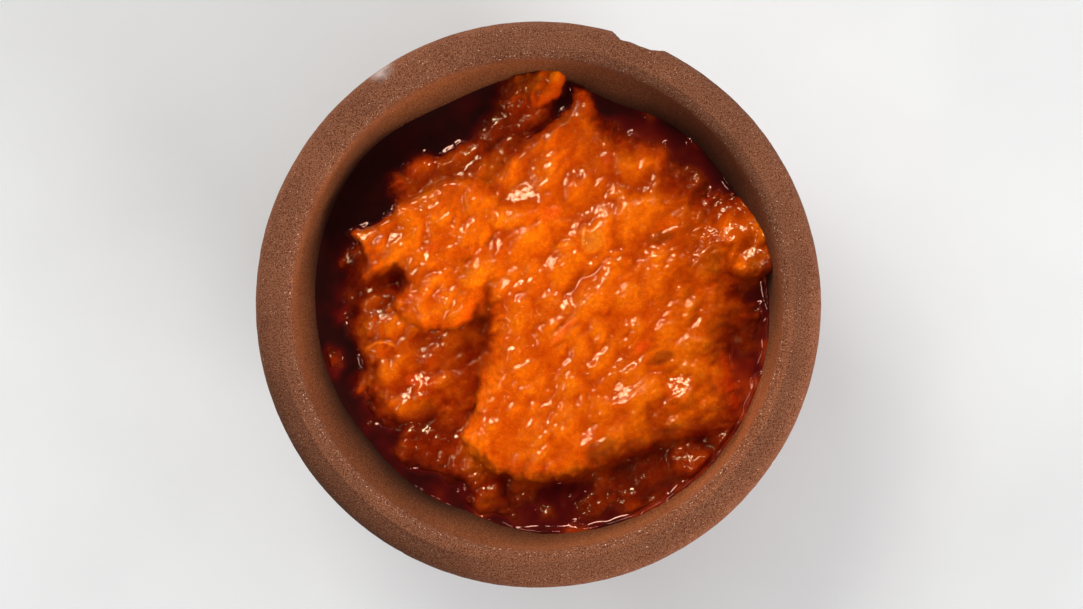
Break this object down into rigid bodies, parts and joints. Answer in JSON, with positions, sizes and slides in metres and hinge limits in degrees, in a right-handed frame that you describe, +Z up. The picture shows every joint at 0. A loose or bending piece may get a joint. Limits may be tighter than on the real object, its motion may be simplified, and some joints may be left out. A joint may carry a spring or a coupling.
{
  "type": "bowl of ajvar",
  "caption": "Small thick-walled unglazed clay bowl, round with a dented rim edge, filled with heaped, lumpy red pepper and aubergine relish that stands in a little red oil.",
  "frame": {"origin": "centre of the bowl's flat foot, on the surface that it stands on", "axes": "+Z up, +Y towards the side whose rim edge is dented, +X to the right seen from above"},
  "size_m": [0.12, 0.12, 0.056],
  "materials": {
    "clay": "unglazed fired clay, red-brown, sandy and matte",
    "ajvar": null,
    "red_oil": null,
    "red_oil_far": null
  },
  "bodies": {
    "root": {"bowl": "clay", "ajvar": "ajvar", "oil": "red_oil", "oil_at_far_right": "red_oil_far"}
  },
  "joints": []
}
